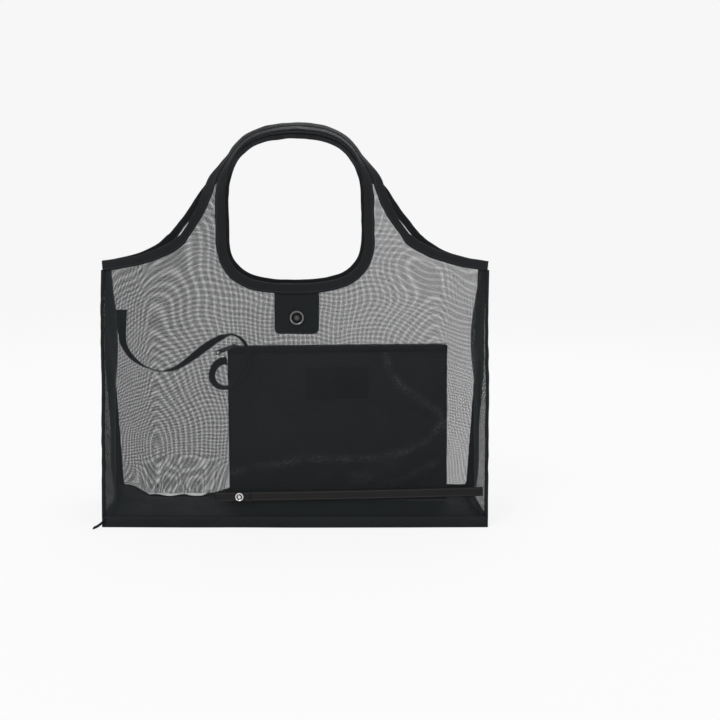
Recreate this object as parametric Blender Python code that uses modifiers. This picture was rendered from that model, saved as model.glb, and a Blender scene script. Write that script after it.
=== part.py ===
"""A sheer mesh beach bag that stands on a solid base, with a zip pouch on a leash inside it.

The front faces -Y and +Z is up. The origin is on the floor, under the middle of the bag. Front and
back are the same design made for side -1 and side +1, and every fabric edge runs in a folded tape.
"""
import math

import bmesh
import bpy
from mathutils import Matrix, Vector

# Bag
base_width = 0.436
base_depth = 0.140
shoulder_width = 0.446
shoulder_height = 0.299
mouth_depth = 0.100
corner_depth = 0.026
corner_pinch = 3
rim_height = 0.275
handle_inner_height = 0.4435
handle_lean = math.radians(61)
strap_gap = 0.002
leg_top_height = 0.330
fold_gap = 0.0012

# strap_gap is the bare mesh between the two tapes of a handle
# Each handle: half its opening, how much wider each leg is at its foot, and where that ends
handles = {
    -1: {"half_open": 0.0775, "flare": 0.0265, "neck": 0.383, "power": 1.6},
    1: {"half_open": 0.0800, "flare": 0.0470, "neck": 0.395, "power": 1.2},
}

# Cloth, tape and the gap between touching pieces
mesh_thickness = 0.0005
base_thickness = 0.0012
tape_width = 0.0115
seam_legs = {-1: 0.0030, 1: 0.0115}
tape_wall = 0.0005
clearance = 0.0003
seam_thickness = 0.0010
patch_thickness = 0.0015

# Snap tabs and their magnetic snap
tab_width = 0.050
tab_bottom = 0.2185
tab_corner = 0.006
snap_x = 0.002
snap_height = 0.237
snap_radius = 0.0085
snap_post = 0.0020

# Strap low on the front, snapped at its left end
strap_height = 0.010
strap_layer = 0.0010
strap_right_x = 0.2135
strap_left_x = -0.0905
strap_right_z = 0.0398
strap_left_z = 0.0353
fold_length = 0.040
strap_snap_x = -0.0627
strap_snap_radius = 0.0046
strap_snap_post = 0.0012

# Pouch, in its own frame: X along its width, -Y its front, Z up, origin under its middle
pouch_width = 0.268
pouch_height = 0.189
pouch_shell = 0.0008
pouch_edge = 0.0010
pouch_fullness = 0.0030
pouch_x = 0.0535
pouch_from_back = 0.0440
pouch_foot = 0.0043
pouch_lean = math.radians(3.0)
pouch_tilt = math.radians(0.6)
label_width = 0.074
label_height = 0.038
label_drop = 0.043
label_thickness = 0.0010

# Zip
tape_drop = 0.006
slit = 0.0004
coil_width = 0.0014
coil_height = 0.0014
zip_plate = 0.0008
slider_length = 0.009
slider_x = -0.1250
stop_length = 0.002
stop_x = 0.1310
pin_radius = 0.00055
puller_length = 0.027
puller_width = 0.0062
puller_thickness = 0.0011
puller_rest = math.radians(23)

# Leash: a tape from the back left seam to the pouch's left edge
leash_wire = 0.00155
leash_spacing = 0.0042
leash_tab_width = 0.010
leash_tab_thickness = 0.0016
leash_tab_top = (-0.2093, 0.0245, 0.2400)
leash_tab_low = (-0.2095, 0.0290, 0.2140)
leash_route = (
    (-0.2095, 0.0291, 0.2130), (-0.2088, 0.0302, 0.2000), (-0.2037, 0.0325, 0.1876),
    (-0.1956, 0.0345, 0.1776), (-0.1838, 0.0360, 0.1694), (-0.1657, 0.0375, 0.1636),
    (-0.1472, 0.0370, 0.1668), (-0.1283, 0.0345, 0.1789), (-0.1095, 0.0305, 0.1935),
    (-0.0931, 0.0250, 0.2045), (-0.0782, 0.0200, 0.2105), (-0.0659, 0.0165, 0.2067),
    (-0.0580, 0.0150, 0.1961), (-0.0560, 0.0145, 0.1829), (-0.0605, 0.0145, 0.1684),
    (-0.0710, 0.0150, 0.1545), (-0.0833, 0.0165, 0.1464), (-0.0943, 0.0190, 0.1485),
    (-0.1005, 0.0225, 0.1574), (-0.0985, 0.0265, 0.1690), (-0.0920, 0.0305, 0.1755),
    (-0.0835, 0.0345, 0.1772),
)

BLACK_MESH = ((0.020, 0.022, 0.025), 0.6, 0.0)
BLACK_TAPE = ((0.012, 0.013, 0.015), 0.55, 0.0)
BLACK_BASE = ((0.015, 0.016, 0.018), 0.7, 0.0)
BROWN_BLACK = ((0.020, 0.016, 0.014), 0.5, 0.0)
BLACK_RIPSTOP = ((0.012, 0.012, 0.013), 0.5, 0.0)
BLACK_RUBBER = ((0.010, 0.010, 0.011), 0.35, 0.0)
GUNMETAL = ((0.09, 0.09, 0.10), 0.25, 1.0)
SILVER = ((0.75, 0.75, 0.76), 0.2, 1.0)

TAPE_THICKNESS = mesh_thickness + 2 * clearance + 2 * tape_wall
SLOT = mesh_thickness + 2 * clearance
EDGE_INSET = tape_wall + clearance
strap_width = 2 * tape_width + strap_gap
label_middle = pouch_height - label_drop
pouch_place = (pouch_x, base_depth / 2 - pouch_from_back, pouch_foot)
TURNS = 24
panel_rows = 8
leg_columns = 6


def empty_scene():
    for old in list(bpy.data.objects):
        bpy.data.objects.remove(old, do_unlink=True)
    for name in ("beach_bag", "cutters"):
        bpy.context.scene.collection.children.link(bpy.data.collections.new(name))


def material(name, look):
    colour, roughness, metallic = look
    made = bpy.data.materials.new(name)
    made.use_nodes = True
    shader = made.node_tree.nodes["Principled BSDF"]
    shader.inputs["Base Color"].default_value = (*colour, 1.0)
    shader.inputs["Roughness"].default_value = roughness
    shader.inputs["Metallic"].default_value = metallic
    return made


def add(name, data, look, place=None, collection="beach_bag"):
    """Put a mesh or a curve in the scene as the sub-part called name."""
    made = bpy.data.objects.new(name, data)
    bpy.data.collections[collection].objects.link(made)
    if look:
        data.materials.append(material(name, look))
    if place is not None:
        made.matrix_world = place
    return made


def loft(name, sections, look, place=None, collection="beach_bag"):
    """A closed solid through section loops that have the same number of points.

    Each quad is split along its shorter diagonal, so that layers that twist together stay apart.
    """
    bm = bmesh.new()
    rings = [[bm.verts.new(point) for point in section] for section in sections]
    for low, high in zip(rings, rings[1:]):
        for i in range(len(low)):
            a, b, c, d = low[i], low[(i + 1) % len(low)], high[(i + 1) % len(low)], high[i]
            if (a.co - c.co).length < (b.co - d.co).length:
                splits = ((a, b, c), (a, c, d))
            else:
                splits = ((a, b, d), (b, c, d))
            for corners in splits:
                bm.faces.new(corners)
    bm.faces.new(rings[0])
    bm.faces.new(rings[-1])
    bmesh.ops.recalc_face_normals(bm, faces=bm.faces)
    data = bpy.data.meshes.new(name)
    bm.to_mesh(data)
    bm.free()
    return add(name, data, look, place, collection)


def box_sections(low, high):
    """The two ends of a box, for loft."""
    ring = lambda x: [(x, y, z) for y, z in (
        (low[1], low[2]), (high[1], low[2]), (high[1], high[2]), (low[1], high[2]))]
    return [ring(low[0]), ring(high[0])]


def turned(name, profile, place, look, collection="beach_bag"):
    """A profile of (radius, height) points, from top to bottom, turned about its Z axis."""
    data = bpy.data.meshes.new(name)
    edges = [(i, i + 1) for i in range(len(profile) - 1)]
    data.from_pydata([(r, 0, h) for r, h in profile], edges, [])
    made = add(name, data, look, place, collection)
    screw = made.modifiers.new("turn", "SCREW")
    screw.steps = screw.render_steps = TURNS
    screw.use_merge_vertices = True
    screw.merge_threshold = 0.00001
    screw.use_smooth_shade = True
    return made


def flat_outline(name, outlines, thickness, place, look):
    """A plate from closed outlines of (x, y) points. The second and later ones are holes."""
    data = bpy.data.curves.new(name, "CURVE")
    data.dimensions = "2D"
    data.fill_mode = "BOTH"
    data.extrude = thickness / 2
    for outline in outlines:
        spline = data.splines.new("POLY")
        spline.points.add(len(outline) - 1)
        for point, (x, y) in zip(spline.points, outline):
            point.co = (x, y, 0, 1)
        spline.use_cyclic_u = True
    return add(name, data, look, place)


def tube(name, points, radius, look, closed=False, place=None):
    """A round tube through points, with filled ends unless it closes on itself."""
    data = bpy.data.curves.new(name, "CURVE")
    data.dimensions = "3D"
    data.bevel_depth = radius
    data.bevel_resolution = 2
    data.use_fill_caps = not closed
    spline = data.splines.new("POLY")
    spline.points.add(len(points) - 1)
    for point, co in zip(spline.points, points):
        point.co = (*co, 1)
    spline.use_cyclic_u = closed
    return add(name, data, look, place)


def as_mesh(made):
    """Turn a curve object into a mesh object with welded caps, so that it can be cut."""
    graph = bpy.context.evaluated_depsgraph_get()
    data = bpy.data.meshes.new_from_object(made.evaluated_get(graph))
    bm = bmesh.new()
    bm.from_mesh(data)
    bmesh.ops.remove_doubles(bm, verts=bm.verts, dist=0.00001)
    bm.to_mesh(data)
    bm.free()
    name, place, look = made.name, made.matrix_world.copy(), made.data.materials[0]
    bpy.data.objects.remove(made, do_unlink=True)
    meshed = add(name, data, None, place)
    data.materials.clear()
    data.materials.append(look)
    return meshed


def bore(made, radius, place, length=0.02):
    """Cut a round hole along the Z axis of place."""
    profile = [(0, length), (radius, length), (radius, -length), (0, -length)]
    cutter = turned(f"{made.name}_bore_{len(made.modifiers)}", profile, place, None, "cutters")
    cutter.hide_render = True
    cutter.display_type = "WIRE"
    cut = made.modifiers.new("bore", "BOOLEAN")
    cut.operation = "DIFFERENCE"
    cut.object = cutter


def bezier(p0, p1, p2, p3, steps):
    """Points on a cubic curve, both ends included."""
    made = []
    for i in range(steps + 1):
        t = i / steps
        weights = ((1 - t) ** 3, 3 * t * (1 - t) ** 2, 3 * t * t * (1 - t), t ** 3)
        made.append(Vector([sum(w * p[k] for w, p in zip(weights, (p0, p1, p2, p3)))
                            for k in range(2)]))
    return made


def arc(centre, radius, start, end, steps):
    """Points on a circle between two angles in degrees, both ends included."""
    return [(centre[0] + radius * math.cos(math.radians(start + (end - start) * i / steps)),
             centre[1] + radius * math.sin(math.radians(start + (end - start) * i / steps)))
            for i in range(steps + 1)]


def smooth(t):
    t = min(max(t, 0.0), 1.0)
    return t * t * (3 - 2 * t)


# Where the cloth runs: each panel leans in, and more so towards the corners
lean = (base_depth - mouth_depth) / 2 / shoulder_height
corner_lean = (base_depth - corner_depth) / 2 / shoulder_height


def panel_lean(x):
    share = min(abs(x) / (max(base_width, shoulder_width) / 2), 1)
    return lean + (corner_lean - lean) * share ** corner_pinch


def panel_y(side, x, z):
    """The middle of the front or back cloth."""
    return side * (base_depth / 2 - panel_lean(x) * z)


def half_width(z):
    """From the middle to the outer face of the side cloth at height z."""
    return base_width / 2 + (shoulder_width - base_width) / 2 * z / shoulder_height


def in_panel(side, x, z, direction):
    """A direction drawn on the flat cloth, as a unit vector in space at a point of the panel."""
    step = 0.001
    low = Vector((-direction[0], 0, -direction[1])) * step / 2
    high = -low
    low.y, high.y = (panel_y(side, x + p.x, z + p.z) for p in (low, high))
    return (high - low).normalized()


def outward(side, x, z):
    across, up = in_panel(side, x, z, (1, 0)), in_panel(side, x, z, (0, 1))
    return across.cross(up).normalized() * -side


def on_panel(side, x, z, out=0.0):
    """A point of the front or back cloth, moved out along its normal."""
    return Vector((x, panel_y(side, x, z), z)) + outward(side, x, z) * out


def panel_frame(side, x, z, out=0.0):
    """A frame on the cloth whose Z axis points out of the bag and whose Y axis runs up it."""
    up, normal = in_panel(side, x, z, (0, 1)), outward(side, x, z)
    frame = Matrix((up.cross(normal), up, normal)).transposed().to_4x4()
    frame.translation = on_panel(side, x, z, out)
    return frame


# Outlines of the front and back, as (x, z) points of the right half
def rim_outline(side):
    """The lower half of the opening, from its middle up to the handle."""
    reach = handles[side]["half_open"]
    curve = bezier((0, rim_height), (0.65 * reach, rim_height), (0.98 * reach, rim_height + 0.010),
                   (reach, rim_height + 0.047), 11)
    return curve + [Vector((reach, leg_top_height - fold_gap))]


def leg_width(side, z):
    shape = handles[side]
    rise = (z - leg_top_height) / (shape["neck"] - leg_top_height)
    return strap_width + shape["flare"] * max(0.0, 1 - max(rise, 0.0)) ** shape["power"]


def shoulder_outline(side):
    """The outer edge, from the shoulder's corner up to the handle."""
    foot = handles[side]["half_open"] + leg_width(side, leg_top_height)
    corner = shoulder_width / 2
    middle = (corner + foot) / 2
    curve = bezier((corner, shoulder_height), (middle - 0.005, shoulder_height + 0.005),
                   (foot + 0.011, leg_top_height - 0.011), (foot, leg_top_height - fold_gap), 8)
    return curve


def handle_edges(side):
    """(inner point, outer point) of the strap in space, from the right foot over to the left."""
    reach = handles[side]["half_open"]
    foot = leg_top_height + fold_gap
    turn = leg_top_height + 0.030
    rise = handle_inner_height - turn
    inner = [Vector((reach, foot + (turn - foot) * i / 3)) for i in range(3)]
    inner += bezier((reach, turn), (reach, turn + 0.66 * rise), (0.8 * reach, handle_inner_height),
                    (0, handle_inner_height), 22)
    run = [0.0]
    for low, high in zip(inner, inner[1:]):
        run.append(run[-1] + (high - low).length)
    pairs = []
    for i, point in enumerate(inner):
        along = inner[min(i + 1, len(inner) - 1)] - inner[max(i - 1, 0)]
        if i == len(inner) - 1:
            along = Vector((-1, 0))
        side_way = Vector((along.y, -along.x)).normalized()
        width = leg_width(side, point.y)
        start = on_panel(side, point.x, point.y)
        flat = point + side_way * width
        away = (on_panel(side, flat.x, flat.y) - start).normalized()
        normal = in_panel(side, point.x, point.y, along).cross(away) * side
        roll = handle_lean * smooth((run[i] - 0.038) / 0.052)
        end = start + (away * math.cos(roll) - normal.normalized() * math.sin(roll)) * width
        pairs.append((start, end))
    other = [tuple(Vector((-p.x, p.y, p.z)) for p in pair) for pair in pairs[:-1]]
    return pairs + other[::-1]


def mirrored(outline):
    """The whole outline, from the left end to the right end, from its right half."""
    left = [Vector((-p.x, p.y)) for p in outline[::-1]]
    return left[:-1] + outline if outline[0].x < 1e-6 else left


def channel(edge, inward, normal):
    """The section of a folded tape whose fold is at edge and whose mouth points inward."""
    corners = ((0, -TAPE_THICKNESS / 2), (tape_width, -TAPE_THICKNESS / 2), (tape_width, -SLOT / 2),
               (tape_wall, -SLOT / 2), (tape_wall, SLOT / 2), (tape_width, SLOT / 2),
               (tape_width, TAPE_THICKNESS / 2), (0, TAPE_THICKNESS / 2))
    return [edge + inward * a + normal * b for a, b in corners]


def edge_tape(name, side, outline, turn):
    """A tape along an outline on the front or back. turn is +1 if the cloth lies to its right."""
    sections = []
    for i, point in enumerate(outline):
        along = outline[min(i + 1, len(outline) - 1)] - outline[max(i - 1, 0)]
        inward = (along.y * turn, -along.x * turn)
        if abs(point.y - (leg_top_height - fold_gap)) < 1e-6:
            inward = (math.copysign(1, inward[0]), 0)
        sections.append(channel(on_panel(side, point.x, point.y),
                                in_panel(side, point.x, point.y, inward),
                                outward(side, point.x, point.y)))
    return loft(name, sections, BLACK_TAPE)


def panel_name(side):
    return "front" if side < 0 else "back"


def bag_panel(side):
    """The mesh below the handle, as upright strips from the base up to the outline."""
    bottom = seam_thickness + clearance
    inside = leg_top_height - fold_gap
    tops = []
    rim = rim_outline(side)
    for i, point in enumerate(rim[:-1]):
        along = rim[i + 1] - rim[max(i - 1, 0)]
        away = Vector((along.y, -along.x)).normalized() * EDGE_INSET
        tops.append((point.x + away.x, point.y + away.y))
    tops[-1] = (handles[side]["half_open"] + EDGE_INSET, tops[-1][1])
    shoulder = shoulder_outline(side)
    near, far = tops[-1][0] + 0.0001, shoulder[-1].x - EDGE_INSET
    tops += [(near + (far - near) * i / leg_columns, inside) for i in range(leg_columns + 1)]
    for i in range(len(shoulder) - 2, 0, -1):
        along = shoulder[i + 1] - shoulder[i - 1]
        away = Vector((along.y, -along.x)).normalized() * EDGE_INSET
        tops.append((shoulder[i].x - abs(away.x), shoulder[i].y - abs(away.y)))
    tops.append((half_width(shoulder_height), shoulder_height - EDGE_INSET))
    tops = [(-x, z) for x, z in tops[:0:-1]] + tops
    corner = tops[-1][0]
    sections = []
    for x, top in tops:
        low_x = math.copysign(half_width(bottom), x) if abs(x) == corner else x
        line = [(low_x + (x - low_x) * i / panel_rows, bottom + (top - bottom) * i / panel_rows)
                for i in range(panel_rows + 1)]
        out = mesh_thickness / 2
        sections.append([on_panel(side, *p, out) for p in line]
                        + [on_panel(side, *p, -out) for p in line[::-1]])
    panel = loft(f"{panel_name(side)}_mesh_panel", sections, BLACK_MESH)
    bore(panel, snap_post + clearance, panel_frame(side, snap_x, snap_height))
    if side < 0:
        bore(panel, strap_snap_post + clearance,
             panel_frame(side, strap_snap_x, strap_z(strap_snap_x)))
    return panel


def bag_edges(side):
    """The rim tape and the two shoulder tapes."""
    name = panel_name(side)
    edge_tape(f"{name}_rim_tape", side, mirrored(rim_outline(side)), 1)
    shoulder = shoulder_outline(side)
    edge_tape(f"{name}_right_shoulder_tape", side, shoulder, -1)
    edge_tape(f"{name}_left_shoulder_tape", side, mirrored(shoulder)[::-1], 1)


def handle(side):
    """The strap's mesh and the tapes along its two edges, from one foot over to the other."""
    name = panel_name(side)
    pairs = handle_edges(side)
    cloth, inner, outer = [], [], []
    for i, (near, far) in enumerate(pairs):
        across = (far - near).normalized()
        before, after = pairs[max(i - 1, 0)], pairs[min(i + 1, len(pairs) - 1)]
        along = (after[0] + after[1] - before[0] - before[1]).normalized()
        if i in (0, len(pairs) - 1):
            along = Vector((0, 0, 1 if i == 0 else -1))
        normal = along.cross(across).normalized()
        half = normal * mesh_thickness / 2
        line = [near + across * EDGE_INSET, near + across * tape_width,
                far - across * tape_width, far - across * EDGE_INSET]
        cloth.append([p + half for p in line] + [p - half for p in line[::-1]])
        inner.append(channel(near, across, normal))
        outer.append(channel(far, -across, normal))
    loft(f"{name}_handle_mesh", cloth, BLACK_MESH)
    loft(f"{name}_handle_inner_tape", inner, BLACK_TAPE)
    loft(f"{name}_handle_outer_tape", outer, BLACK_TAPE)


def gusset(hand):
    """The left or right side panel and the tape along its top."""
    name = "left" if hand < 0 else "right"
    bottom, top = seam_thickness + clearance, shoulder_height - EDGE_INSET
    inset = TAPE_THICKNESS / 2 + clearance
    levels = [bottom + (top - bottom) * i / panel_rows for i in range(panel_rows + 1)]
    corners = [(-1, z) for z in levels] + [(1, z) for z in reversed(levels)]
    rings = []
    for out in (-mesh_thickness, 0):
        rings.append([Vector((hand * (half_width(z) + out),
                              panel_y(side, half_width(z), z) - side * inset, z))
                      for side, z in corners])
    loft(f"{name}_gusset", rings, BLACK_MESH)
    edges = []
    reach = panel_y(1, half_width(shoulder_height), shoulder_height)
    reach -= TAPE_THICKNESS / 2 + 2 * clearance
    low_z = shoulder_height - tape_width
    down = Vector((hand * (half_width(low_z) - half_width(shoulder_height)), 0, -tape_width))
    down.normalize()
    across = down.cross(Vector((0, 1, 0)))
    for y in (-reach, reach):
        middle = hand * (half_width(shoulder_height) - mesh_thickness / 2)
        edges.append(channel(Vector((middle, y, shoulder_height)), down, across))
    loft(f"{name}_gusset_top_tape", edges, BLACK_TAPE)


def seam_tape(side, hand):
    """The folded tape over an upright corner: one leg on the panel and one on the gusset."""
    name = f"{panel_name(side)}_{'left' if hand < 0 else 'right'}_seam_tape"
    near, leg = clearance, seam_legs[side]
    far = near + seam_thickness
    sections = []
    bottom, top = tape_width + clearance, shoulder_height - tape_width - clearance
    for i in range(panel_rows + 1):
        z = bottom + (top - bottom) * i / panel_rows
        x, cloth = half_width(z), mesh_thickness / 2
        inner, outer = (on_panel(side, x - leg, z, cloth + out) for out in (near, far))
        edge = [abs(on_panel(side, x, z, cloth + out).y) for out in (near, far)]
        back = abs(panel_y(side, x, z)) - leg
        section = [inner, (x + near, side * edge[0], z), (x + near, side * back, z),
                   (x + far, side * back, z), (x + far, side * edge[1], z), outer]
        sections.append([Vector((hand * p[0], p[1], p[2])) for p in section])
    loft(name, sections, BLACK_TAPE)


def base():
    """The solid base and the tapes folded round its four edges."""
    low = seam_thickness + clearance
    inside = mesh_thickness + clearance
    reach_x = half_width(low) - inside
    reach_y = panel_y(1, base_width / 2, low + base_thickness) - inside
    loft("base_panel", box_sections((-reach_x, -reach_y, low),
                                    (reach_x, reach_y, low + base_thickness)), BLACK_BASE)
    near, far = clearance, clearance + seam_thickness
    reach = half_width(0) + far
    for side in (-1, 1):
        sections = []
        for i in range(13):
            x = reach * (i / 6 - 1)
            foot = base_depth / 2 + mesh_thickness / 2
            edge = abs(panel_y(side, x, tape_width)) + mesh_thickness / 2
            corners = ((foot + far, 0), (foot - tape_width, 0), (foot - tape_width, near * 3),
                       (foot + near, near * 3), (edge + near, tape_width),
                       (edge + far, tape_width))
            sections.append([Vector((x, side * y, z)) for y, z in corners])
        loft(f"{panel_name(side)}_base_tape", sections, BLACK_TAPE)
    for hand in (-1, 1):
        edge = [half_width(z) for z in (0, tape_width)]
        corners = ((edge[0] + far, 0), (edge[0] - tape_width, 0), (edge[0] - tape_width, near * 3),
                   (edge[0] + near, near * 3), (edge[1] + near, tape_width),
                   (edge[1] + far, tape_width))
        reach = base_depth / 2 + mesh_thickness / 2 - tape_width - clearance
        sections = [[Vector((hand * x, y, z)) for x, z in corners] for y in (-reach, reach)]
        loft(f"{'left' if hand < 0 else 'right'}_base_tape", sections, BLACK_TAPE)


def snap_tab(side):
    """The cloth patch behind the rim that carries half of the magnetic snap."""
    name = panel_name(side)
    top = rim_height - 0.003
    out = TAPE_THICKNESS / 2 + clearance + patch_thickness / 2
    half, low = tab_width / 2, tab_bottom - top
    c = tab_corner
    outline = ([(half, 0)] + arc((half - c, low + c), c, 0, -90, 4)
               + arc((-half + c, low + c), c, -90, -180, 4) + [(-half, 0)])
    place = panel_frame(side, snap_x, top, -out)
    tab = as_mesh(flat_outline(f"{name}_snap_tab", [outline], patch_thickness, place, BLACK_BASE))
    bore(tab, snap_post + clearance, panel_frame(side, snap_x, snap_height))


def magnetic_snap(side):
    """The cap on the outside, with its post, and the half that meets the other inside."""
    name = panel_name(side)
    place = panel_frame(side, snap_x, snap_height)
    rest = mesh_thickness / 2 + clearance
    back = -(TAPE_THICKNESS / 2 + clearance + patch_thickness)
    r = snap_radius
    turned(f"{name}_snap_cap", [
        (0, rest + 0.0022), (0.25 * r, rest + 0.0021), (0.5 * r, rest + 0.0016),
        (0.62 * r, rest + 0.0008), (0.74 * r, rest + 0.0008), (0.84 * r, rest + 0.0014),
        (0.95 * r, rest + 0.0012), (r, rest + 0.0006), (r, rest), (snap_post, rest),
        (snap_post, back), (0, back)], place, GUNMETAL)
    face = back - clearance
    if side < 0:
        profile = [(0, face), (r, face), (r, face - 0.0024), (0.9 * r, face - 0.0030),
                   (0.42 * r, face - 0.0030), (0.42 * r, face - 0.0008), (0, face - 0.0008)]
        turned(f"{name}_snap_socket", profile, place, GUNMETAL)
    else:
        profile = [(0, face), (r, face), (r, face - 0.0014), (0.9 * r, face - 0.0020),
                   (0.38 * r, face - 0.0020), (0.36 * r, face - 0.0038), (0, face - 0.0038)]
        turned(f"{name}_snap_stud", profile, place, GUNMETAL)


def strap_z(x):
    """The middle height of the low strap."""
    share = (strap_right_x - x) / (strap_right_x - strap_left_x)
    return strap_right_z + (strap_left_z - strap_right_z) * share


# How far out of the front cloth's middle each layer at the strap's snap lies
stud_low = mesh_thickness / 2 + clearance
socket_low = stud_low + 0.0011
layer_low = socket_low + 0.0022
fold_low = layer_low + strap_layer + clearance
cap_low = fold_low + strap_layer + clearance


def strap_strip(name, start, end, low_start, low_end):
    """A flat piece of the strap between two x positions, standing off the front cloth."""
    sections = []
    count = 8
    for i in range(count + 1):
        x = start + (end - start) * i / count
        level = smooth((strap_right_x - x) / (strap_right_x - strap_snap_x - 0.03))
        low = low_start + (low_end - low_start) * level
        z, half = strap_z(x), strap_height / 2
        sections.append([on_panel(-1, x, z - half, low), on_panel(-1, x, z + half, low),
                         on_panel(-1, x, z + half, low + strap_layer),
                         on_panel(-1, x, z - half, low + strap_layer)])
    return loft(name, sections, BROWN_BLACK)


def low_strap():
    """The strap across the front's foot, its folded end, and the press snap that holds it."""
    place = panel_frame(-1, strap_snap_x, strap_z(strap_snap_x))
    hole = strap_snap_post + clearance
    strap = strap_strip("lower_strap", strap_right_x, strap_left_x, 0.0007, layer_low)
    bore(strap, hole, place)
    fold = strap_strip("lower_strap_fold", strap_left_x + fold_length, strap_left_x,
                       fold_low, fold_low)
    bore(fold, hole, place)
    r, post = strap_snap_radius, strap_snap_post
    turned("strap_snap_cap", [
        (0, cap_low + 0.0016), (0.35 * r, cap_low + 0.0014), (0.55 * r, cap_low + 0.0008),
        (0.7 * r, cap_low + 0.0008), (0.85 * r, cap_low + 0.0012), (r, cap_low + 0.0006),
        (r, cap_low), (post, cap_low), (post, layer_low), (0, layer_low)], place, SILVER)
    top = layer_low - clearance
    turned("strap_snap_socket", [
        (0, top), (r, top), (r, socket_low), (post + 0.0009, socket_low),
        (post + 0.0009, top - 0.0006), (0, top - 0.0006)], place, SILVER)
    turned("strap_snap_stud", [
        (0, top - 0.0009), (post + 0.0006, top - 0.0009), (post + 0.0006, stud_low + 0.0008),
        (r, stud_low + 0.0008), (r, stud_low), (post, stud_low),
        (post, -stud_low - 0.0005), (0, -stud_low - 0.0005)], place, SILVER)


def pouch_frame():
    """An empty at the pouch's bottom middle that leans and tilts the pouch as it stands."""
    frame = bpy.data.objects.new("pouch_frame", None)
    bpy.data.collections["beach_bag"].objects.link(frame)
    turn = Matrix.Rotation(-pouch_tilt, 4, "Y") @ Matrix.Rotation(-pouch_lean, 4, "X")
    frame.matrix_world = Matrix.Translation(pouch_place) @ turn
    return frame


def pouch_half(side, x, z):
    """How far the pouch's front or back stands from its middle plane."""
    across = 1 - (2 * x / pouch_width) ** 6
    up = 1 - (1 - z / pouch_height) ** 3
    return side * (pouch_edge + pouch_fullness * max(across, 0) * max(up, 0))


def pouch_side(side, frame):
    """The ripstop front or back: an open surface with Solidify."""
    bm = bmesh.new()
    bmesh.ops.create_grid(bm, x_segments=12, y_segments=6, size=0.5)
    for vert in bm.verts:
        x, z = vert.co.x * pouch_width, (vert.co.y + 0.5) * pouch_height
        vert.co = (x, pouch_half(side, x, z), z)
    data = bpy.data.meshes.new(f"pouch_{panel_name(side)}")
    bm.to_mesh(data)
    bm.free()
    shell = add(f"pouch_{panel_name(side)}", data, BLACK_RIPSTOP, frame.matrix_world)
    solidify = shell.modifiers.new("cloth", "SOLIDIFY")
    solidify.thickness = pouch_shell
    solidify.offset = -side
    return shell


tape_low = pouch_height + clearance + zip_plate + clearance
tape_high = tape_low + 0.0005
coil_low = tape_high + clearance
coil_high = coil_low + coil_height
plate_low = coil_high + clearance
plate_high = plate_low + zip_plate


def zip_fastener(frame):
    """Two tapes over the pouch's mouth, their coils, a stop at each end and the slider."""
    place = frame.matrix_world
    wide = pouch_edge + pouch_fullness + pouch_shell + clearance
    reach = stop_x - stop_length / 2 - clearance
    for side in (-1, 1):
        name = panel_name(side)
        low = pouch_height - tape_drop
        corners = ((slit, tape_low), (wide, tape_low), (wide, low), (wide + 0.0005, low),
                   (wide + 0.0005, tape_high), (slit, tape_high))
        half = pouch_width / 2
        loft(f"zip_tape_{name}", [[(x, side * y, z) for y, z in corners] for x in (-half, half)],
             BLACK_TAPE, place)
        y0, y1 = slit, slit + coil_width
        corners = ((y0, coil_low), (y1, coil_low), (y1, coil_high - 0.0004),
                   (y1 - 0.0004, coil_high), (y0, coil_high))
        loft(f"zip_coil_{name}", [[(x, side * y, z) for y, z in corners] for x in (-reach, reach)],
             BLACK_RUBBER, place)
    for hand in (-1, 1):
        low = (hand * stop_x - stop_length / 2, -slit - coil_width, coil_low)
        high = (hand * stop_x + stop_length / 2, slit + coil_width, coil_high)
        loft(f"zip_stop_{'left' if hand < 0 else 'right'}", box_sections(low, high), GUNMETAL,
             place)
    slider(frame)


def slider(frame):
    """The slider: a top plate over the coils, a neck in the slit and a plate under the tapes."""
    place = frame.matrix_world
    neck = slit - 0.00015
    side_in = slit + coil_width + clearance
    side_out = side_in + 0.0006
    wing = side_out + 0.0016
    half = [(neck, plate_low), (side_in, plate_low), (side_in, tape_high + clearance),
            (side_out, tape_high + clearance), (side_out, plate_low), (wing, plate_low),
            (wing, plate_high)]
    foot = [(neck, tape_low - clearance), (side_out, tape_low - clearance),
            (side_out, tape_low - clearance - zip_plate)]
    corners = foot[::-1] + half
    corners += [(-y, z) for y, z in corners[::-1]]
    ends = (slider_x - slider_length / 2, slider_x + slider_length / 2)
    loft("zip_slider", [[(x, y, z) for y, z in corners] for x in ends], GUNMETAL, place)
    near = pouch_edge + pouch_fullness + pouch_shell + clearance + 0.0005 + clearance
    far = near + puller_thickness
    pin_z = (plate_low + plate_high) / 2
    forward = Matrix.Rotation(math.pi / 2, 4, "X")
    r, head = pin_radius, far + clearance
    turned("slider_pin", [
        (0, head + 0.0005), (1.6 * r, head + 0.0005), (2 * r, head + 0.0003), (2 * r, head),
        (r, head), (r, wing + clearance), (0, wing + clearance)],
        place @ Matrix.Translation((slider_x, 0, pin_z)) @ forward, GUNMETAL)
    eye, end, tip = r + clearance, 0.0019, puller_width / 2
    outline = (arc((0, 0), end, 80, 280, 12)
               + arc((puller_length - end - tip, 0), tip, 280, 440, 12))
    hole = arc((puller_length - end - tip, 0), 0.5 * tip, 0, 330, 11)
    turn = Matrix.Rotation(math.pi - puller_rest, 4, "Y") @ forward
    pivot = Matrix.Translation((slider_x, -(near + far) / 2, pin_z)) @ turn
    flat_outline("zip_puller", [outline, arc((0, 0), eye, 0, 330, 11), hole], puller_thickness,
                 place @ pivot, GUNMETAL)


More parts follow.
